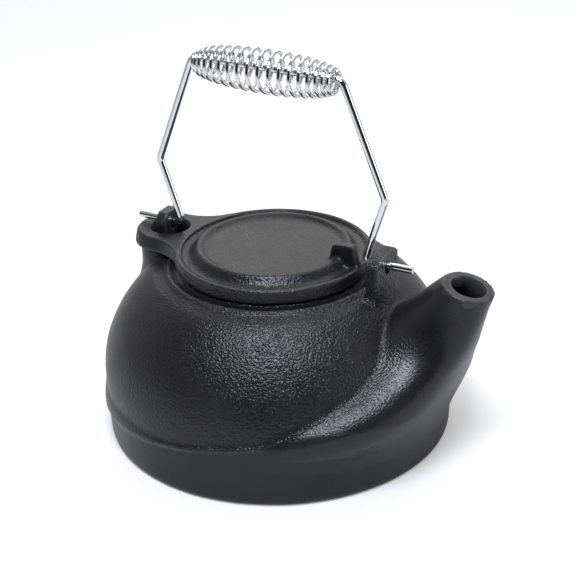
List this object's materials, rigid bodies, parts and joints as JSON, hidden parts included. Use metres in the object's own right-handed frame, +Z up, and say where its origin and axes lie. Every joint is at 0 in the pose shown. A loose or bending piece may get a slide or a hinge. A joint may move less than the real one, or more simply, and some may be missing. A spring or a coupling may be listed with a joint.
{
  "type": "kettle",
  "caption": "Round cast iron kettle with a spout, a lid that swivels on the rear lug, and a wire bail with a loose coil grip.",
  "frame": {"origin": "centre of the base, on the plane the kettle stands on", "axes": "+Z up, +X towards the spout, +Y to the left of someone who looks along the spout from behind"},
  "size_m": [0.2265, 0.1936, 0.2172],
  "materials": {
    "body_iron": "satin black sand-cast iron with a fine pebbled grain",
    "lid_iron": "satin black cast iron, slightly smoother and paler than the bowl",
    "bail_wire": "bright chromed steel wire",
    "coil_wire": "bright chromed spring wire"
  },
  "bodies": {
    "kettle": {"kettle_body": "body_iron"},
    "lid": {"lid": "lid_iron"},
    "bail": {"bail": "bail_wire"},
    "grip": {"grip_coil": "coil_wire"}
  },
  "joints": [
    {"name": "bail_swing", "type": "hinge", "parent": "kettle", "child": "bail", "pos_m": [0, 0, 0.108], "axis": [1, 0, 0], "range_deg": [-92, 92]},
    {"name": "lid_swivel", "type": "hinge", "parent": "kettle", "child": "lid", "pos_m": [-0.068, 0, 0.0963], "axis": [0, 0, 1], "range_deg": [-180, 180]},
    {"name": "grip_spin", "type": "hinge", "parent": "bail", "child": "grip", "pos_m": [-0.0025, 0, 0.2047], "axis": [1, 0, 0], "continuous": true}
  ]
}
